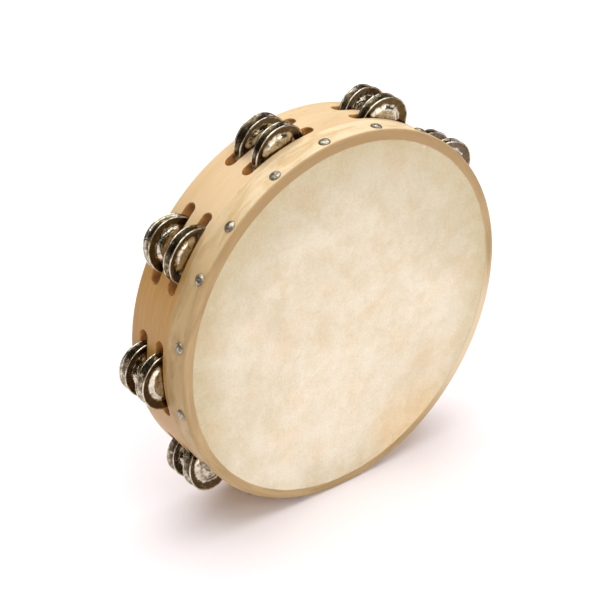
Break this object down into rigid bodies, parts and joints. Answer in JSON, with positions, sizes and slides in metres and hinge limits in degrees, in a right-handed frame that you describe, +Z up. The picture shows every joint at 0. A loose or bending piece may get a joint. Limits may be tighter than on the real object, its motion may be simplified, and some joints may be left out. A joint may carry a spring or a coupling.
{
  "type": "tambourine",
  "caption": "Round hand drum with a tacked skin head on a bent wooden hoop, slotted in two rows for loose pairs of cupped steel jingles on pins.",
  "frame": {"origin": "on the ground under the middle of the drum, where the lowest flat of its rim rests; halfway between head and back edge", "axes": "+Z up; the drum's axis is Y, with the skin head facing -Y and the open back facing +Y; +X is to the right seen from the head; the bare hand-hold stretch of the hoop is at the bottom"},
  "size_m": [0.2839, 0.0554, 0.262],
  "materials": {
    "hoop_wood": "satin, clear lacquered pale maple",
    "calfskin": "matt natural calfskin, mottled cream and tan",
    "jingle_nickel": "polished nickel plate, slightly tarnished",
    "pin_steel": "drawn steel wire",
    "tack_nickel": "nickel-plated domed tack, lightly scratched"
  },
  "bodies": {
    "drum": {"hoop": "hoop_wood", "skin_head": "calfskin", "pin_1": "pin_steel", "pin_2": "pin_steel", "pin_3": "pin_steel", "pin_4": "pin_steel", "pin_5": "pin_steel", "pin_6": "pin_steel", "pin_7": "pin_steel", "pin_8": "pin_steel", "tack_1": "tack_nickel", "tack_2": "tack_nickel", "tack_3": "tack_nickel", "tack_4": "tack_nickel", "tack_5": "tack_nickel", "tack_6": "tack_nickel", "tack_7": "tack_nickel", "tack_8": "tack_nickel", "tack_9": "tack_nickel", "tack_10": "tack_nickel", "tack_11": "tack_nickel", "tack_12": "tack_nickel", "tack_13": "tack_nickel", "tack_14": "tack_nickel", "tack_15": "tack_nickel", "tack_16": "tack_nickel", "tack_17": "tack_nickel", "tack_18": "tack_nickel"},
    "jingle_1_front_fore": {"jingle_1_front_fore": "jingle_nickel"},
    "jingle_1_front_aft": {"jingle_1_front_aft": "jingle_nickel"},
    "jingle_1_rear_fore": {"jingle_1_rear_fore": "jingle_nickel"},
    "jingle_1_rear_aft": {"jingle_1_rear_aft": "jingle_nickel"},
    "jingle_2_front_fore": {"jingle_2_front_fore": "jingle_nickel"},
    "jingle_2_front_aft": {"jingle_2_front_aft": "jingle_nickel"},
    "jingle_2_rear_fore": {"jingle_2_rear_fore": "jingle_nickel"},
    "jingle_2_rear_aft": {"jingle_2_rear_aft": "jingle_nickel"},
    "jingle_3_front_fore": {"jingle_3_front_fore": "jingle_nickel"},
    "jingle_3_front_aft": {"jingle_3_front_aft": "jingle_nickel"},
    "jingle_3_rear_fore": {"jingle_3_rear_fore": "jingle_nickel"},
    "jingle_3_rear_aft": {"jingle_3_rear_aft": "jingle_nickel"},
    "jingle_4_front_fore": {"jingle_4_front_fore": "jingle_nickel"},
    "jingle_4_front_aft": {"jingle_4_front_aft": "jingle_nickel"},
    "jingle_4_rear_fore": {"jingle_4_rear_fore": "jingle_nickel"},
    "jingle_4_rear_aft": {"jingle_4_rear_aft": "jingle_nickel"},
    "jingle_5_front_fore": {"jingle_5_front_fore": "jingle_nickel"},
    "jingle_5_front_aft": {"jingle_5_front_aft": "jingle_nickel"},
    "jingle_5_rear_fore": {"jingle_5_rear_fore": "jingle_nickel"},
    "jingle_5_rear_aft": {"jingle_5_rear_aft": "jingle_nickel"},
    "jingle_6_front_fore": {"jingle_6_front_fore": "jingle_nickel"},
    "jingle_6_front_aft": {"jingle_6_front_aft": "jingle_nickel"},
    "jingle_6_rear_fore": {"jingle_6_rear_fore": "jingle_nickel"},
    "jingle_6_rear_aft": {"jingle_6_rear_aft": "jingle_nickel"},
    "jingle_7_front_fore": {"jingle_7_front_fore": "jingle_nickel"},
    "jingle_7_front_aft": {"jingle_7_front_aft": "jingle_nickel"},
    "jingle_7_rear_fore": {"jingle_7_rear_fore": "jingle_nickel"},
    "jingle_7_rear_aft": {"jingle_7_rear_aft": "jingle_nickel"},
    "jingle_8_front_fore": {"jingle_8_front_fore": "jingle_nickel"},
    "jingle_8_front_aft": {"jingle_8_front_aft": "jingle_nickel"},
    "jingle_8_rear_fore": {"jingle_8_rear_fore": "jingle_nickel"},
    "jingle_8_rear_aft": {"jingle_8_rear_aft": "jingle_nickel"}
  },
  "joints": [
    {"name": "spin_1_front_fore", "type": "hinge", "parent": "drum", "child": "jingle_1_front_fore", "pos_m": [-0.09193, -0.00318, 0.04385], "axis": [0.1355, -0.9833, 0.1218], "continuous": true},
    {"name": "spin_1_front_aft", "type": "hinge", "parent": "drum", "child": "jingle_1_front_aft", "pos_m": [-0.09193, -0.00102, 0.04385], "axis": [-0.0584, 0.9969, -0.0524], "continuous": true},
    {"name": "spin_1_rear_fore", "type": "hinge", "parent": "drum", "child": "jingle_1_rear_fore", "pos_m": [-0.09193, 0.01351, 0.04385], "axis": [0.0519, -0.9976, 0.0466], "continuous": true},
    {"name": "spin_1_rear_aft", "type": "hinge", "parent": "drum", "child": "jingle_1_rear_aft", "pos_m": [-0.09193, 0.01589, 0.04385], "axis": [0.0389, 0.9986, 0.035], "continuous": true},
    {"name": "spin_2_front_fore", "type": "hinge", "parent": "drum", "child": "jingle_2_front_fore", "pos_m": [-0.12326, -0.00324, 0.11732], "axis": [0.0865, -0.9962, 0.0117], "continuous": true},
    {"name": "spin_2_front_aft", "type": "hinge", "parent": "drum", "child": "jingle_2_front_aft", "pos_m": [-0.12326, -0.00096, 0.11732], "axis": [0.0265, 0.9996, -0.0033], "continuous": true},
    {"name": "spin_2_rear_fore", "type": "hinge", "parent": "drum", "child": "jingle_2_rear_fore", "pos_m": [-0.12326, 0.01356, 0.11732], "axis": [-0.0091, -0.9999, 0.0046], "continuous": true},
    {"name": "spin_2_rear_aft", "type": "hinge", "parent": "drum", "child": "jingle_2_rear_aft", "pos_m": [-0.12326, 0.01584, 0.11732], "axis": [0.1219, 0.9925, 0.0038], "continuous": true},
    {"name": "spin_3_front_fore", "type": "hinge", "parent": "drum", "child": "jingle_3_front_fore", "pos_m": [-0.10313, -0.00287, 0.19461], "axis": [0.1663, -0.9799, -0.1099], "continuous": true},
    {"name": "spin_3_front_aft", "type": "hinge", "parent": "drum", "child": "jingle_3_front_aft", "pos_m": [-0.10313, -0.00133, 0.19461], "axis": [-0.119, 0.9898, 0.0786], "continuous": true},
    {"name": "spin_3_rear_fore", "type": "hinge", "parent": "drum", "child": "jingle_3_rear_fore", "pos_m": [-0.10313, 0.01368, 0.19461], "axis": [-0.08, -0.9954, 0.0528], "continuous": true},
    {"name": "spin_3_rear_aft", "type": "hinge", "parent": "drum", "child": "jingle_3_rear_aft", "pos_m": [-0.10313, 0.01572, 0.19461], "axis": [0.1592, 0.9816, -0.1052], "continuous": true},
    {"name": "spin_4_front_fore", "type": "hinge", "parent": "drum", "child": "jingle_4_front_fore", "pos_m": [-0.03993, -0.00273, 0.24345], "axis": [0.045, -0.9903, -0.1317], "continuous": true},
    {"name": "spin_4_front_aft", "type": "hinge", "parent": "drum", "child": "jingle_4_front_aft", "pos_m": [-0.03993, -0.00147, 0.24345], "axis": [-0.0338, 0.9945, 0.0989], "continuous": true},
    {"name": "spin_4_rear_fore", "type": "hinge", "parent": "drum", "child": "jingle_4_rear_fore", "pos_m": [-0.03993, 0.01373, 0.24345], "axis": [0.0505, -0.9877, -0.148], "continuous": true},
    {"name": "spin_4_rear_aft", "type": "hinge", "parent": "drum", "child": "jingle_4_rear_aft", "pos_m": [-0.03993, 0.01567, 0.24345], "axis": [-0.0225, 0.9976, 0.066], "continuous": true},
    {"name": "spin_5_front_fore", "type": "hinge", "parent": "drum", "child": "jingle_5_front_fore", "pos_m": [0.03993, -0.00312, 0.24345], "axis": [-0.0483, -0.9903, -0.1306], "continuous": true},
    {"name": "spin_5_front_aft", "type": "hinge", "parent": "drum", "child": "jingle_5_front_aft", "pos_m": [0.03993, -0.00108, 0.24345], "axis": [0.0174, 0.999, 0.0402], "continuous": true},
    {"name": "spin_5_rear_fore", "type": "hinge", "parent": "drum", "child": "jingle_5_rear_fore", "pos_m": [0.03993, 0.01362, 0.24345], "axis": [0.0136, -0.9986, 0.0507], "continuous": true},
    {"name": "spin_5_rear_aft", "type": "hinge", "parent": "drum", "child": "jingle_5_rear_aft", "pos_m": [0.03993, 0.01578, 0.24345], "axis": [-0.0472, 0.9877, -0.1492], "continuous": true},
    {"name": "spin_6_front_fore", "type": "hinge", "parent": "drum", "child": "jingle_6_front_fore", "pos_m": [0.09961, -0.00284, 0.19965], "axis": [-0.1312, -0.9877, -0.0856], "continuous": true},
    {"name": "spin_6_front_aft", "type": "hinge", "parent": "drum", "child": "jingle_6_front_aft", "pos_m": [0.09961, -0.00136, 0.19965], "axis": [0.0894, 0.9945, 0.0548], "continuous": true},
    {"name": "spin_6_rear_fore", "type": "hinge", "parent": "drum", "child": "jingle_6_rear_fore", "pos_m": [0.09961, 0.01385, 0.19965], "axis": [-0.0052, -1, 0.007], "continuous": true},
    {"name": "spin_6_rear_aft", "type": "hinge", "parent": "drum", "child": "jingle_6_rear_aft", "pos_m": [0.09961, 0.01555, 0.19965], "axis": [-0.0511, 0.9975, -0.0483], "continuous": true},
    {"name": "spin_7_front_fore", "type": "hinge", "parent": "drum", "child": "jingle_7_front_fore", "pos_m": [0.12356, -0.00312, 0.12346], "axis": [-0.1735, -0.9848, 0.0095], "continuous": true},
    {"name": "spin_7_front_aft", "type": "hinge", "parent": "drum", "child": "jingle_7_front_aft", "pos_m": [0.12356, -0.00108, 0.12346], "axis": [0.0783, 0.9969, -0.0072], "continuous": true},
    {"name": "spin_7_rear_fore", "type": "hinge", "parent": "drum", "child": "jingle_7_rear_fore", "pos_m": [0.12356, 0.01362, 0.12346], "axis": [-0.0348, -0.9994, 0.0061], "continuous": true},
    {"name": "spin_7_rear_aft", "type": "hinge", "parent": "drum", "child": "jingle_7_rear_aft", "pos_m": [0.12356, 0.01578, 0.12346], "axis": [-0.0699, 0.9976, -0.0035], "continuous": true},
    {"name": "spin_8_front_fore", "type": "hinge", "parent": "drum", "child": "jingle_8_front_fore", "pos_m": [0.09592, -0.00318, 0.04853], "axis": [-0.1236, -0.9877, 0.096], "continuous": true},
    {"name": "spin_8_front_aft", "type": "hinge", "parent": "drum", "child": "jingle_8_front_aft", "pos_m": [0.09592, -0.00102, 0.04853], "axis": [0.0428, 0.9986, -0.0303], "continuous": true},
    {"name": "spin_8_rear_fore", "type": "hinge", "parent": "drum", "child": "jingle_8_rear_fore", "pos_m": [0.09592, 0.01362, 0.04853], "axis": [-0.0563, -0.9976, 0.0413], "continuous": true},
    {"name": "spin_8_rear_aft", "type": "hinge", "parent": "drum", "child": "jingle_8_rear_aft", "pos_m": [0.09592, 0.01578, 0.04853], "axis": [-0.0249, 0.9994, 0.0247], "continuous": true}
  ]
}
